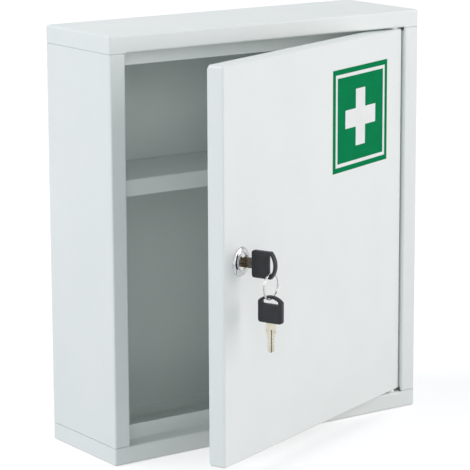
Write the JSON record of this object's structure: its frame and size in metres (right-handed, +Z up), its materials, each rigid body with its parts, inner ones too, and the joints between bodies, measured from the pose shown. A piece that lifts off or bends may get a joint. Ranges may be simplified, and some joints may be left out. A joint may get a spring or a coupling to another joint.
{
  "type": "lockable medicine cabinet",
  "caption": "Folded steel wall cabinet with one inset hinged door, a shelf, a first-aid sign, a cam lock and its keys on a ring.",
  "frame": {"origin": "middle of the four wall holes, on the outer face of the back panel", "axes": "+X to the right as seen from the front, the front faces -Y and the wall is at +Y, +Z up"},
  "size_m": [0.32, 0.2321, 0.36],
  "materials": {
    "white_powder_coat": "fine-textured satin powder coat",
    "white_nylon": "moulded nylon",
    "green_film": "printed self-adhesive vinyl film",
    "zinc_plated_steel": "zinc-plated steel",
    "chrome_plate": "bright chrome plate on zinc die casting",
    "nickel_plate": "nickel-plated brass",
    "brass": "stamped brass",
    "spring_steel": "nickel-plated spring steel wire",
    "black_plastic": "moulded ABS, fine grain"
  },
  "bodies": {
    "cabinet": {"side_and_back_wrap": "white_powder_coat", "top_cap": "white_powder_coat", "bottom_cap": "white_powder_coat", "shelf": "white_powder_coat", "upper_hinge_bush": "white_nylon", "lower_hinge_bush": "white_nylon"},
    "door": {"door_panel": "white_powder_coat", "first_aid_label": "green_film", "upper_hinge_pin": "zinc_plated_steel", "lower_hinge_pin": "zinc_plated_steel", "lock_housing": "chrome_plate", "lock_nut": "zinc_plated_steel"},
    "lock_core": {"lock_plug": "nickel_plate", "tumbler_wafers": "brass", "wafer_springs": "spring_steel", "lock_cam": "zinc_plated_steel", "cam_washer": "zinc_plated_steel", "cam_screw": "zinc_plated_steel"},
    "key": {"key_blade": "nickel_plate", "key_head": "black_plastic"},
    "ring": {"key_ring": "spring_steel"},
    "spare_key": {"spare_key_blade": "nickel_plate", "spare_key_head": "black_plastic"}
  },
  "joints": [
    {"name": "door_swing", "type": "hinge", "parent": "cabinet", "child": "door", "pos_m": [0.1355, -0.095, 0], "axis": [0, 0, 1], "range_deg": [-22, 83]},
    {"name": "lock_turn", "type": "hinge", "parent": "door", "child": "lock_core", "pos_m": [-0.0986, -0.19497, 0.0042], "axis": [-0.3746, 0.9272, 0], "range_deg": [0, 90]},
    {"name": "key_pull", "type": "slide", "parent": "lock_core", "child": "key", "axis": [0.3746, -0.9272, 0], "range_m": [0, 0.024]},
    {"name": "ring_swing", "type": "hinge", "parent": "key", "child": "ring", "pos_m": [-0.08803, -0.22112, -0.00242], "axis": [-0.9272, -0.3746, 0], "range_deg": [-10, 35]},
    {"name": "spare_key_swing", "type": "hinge", "parent": "ring", "child": "spare_key", "pos_m": [-0.08803, -0.22112, -0.02342], "axis": [-0.9272, -0.3746, 0], "range_deg": [-10, 30]}
  ]
}
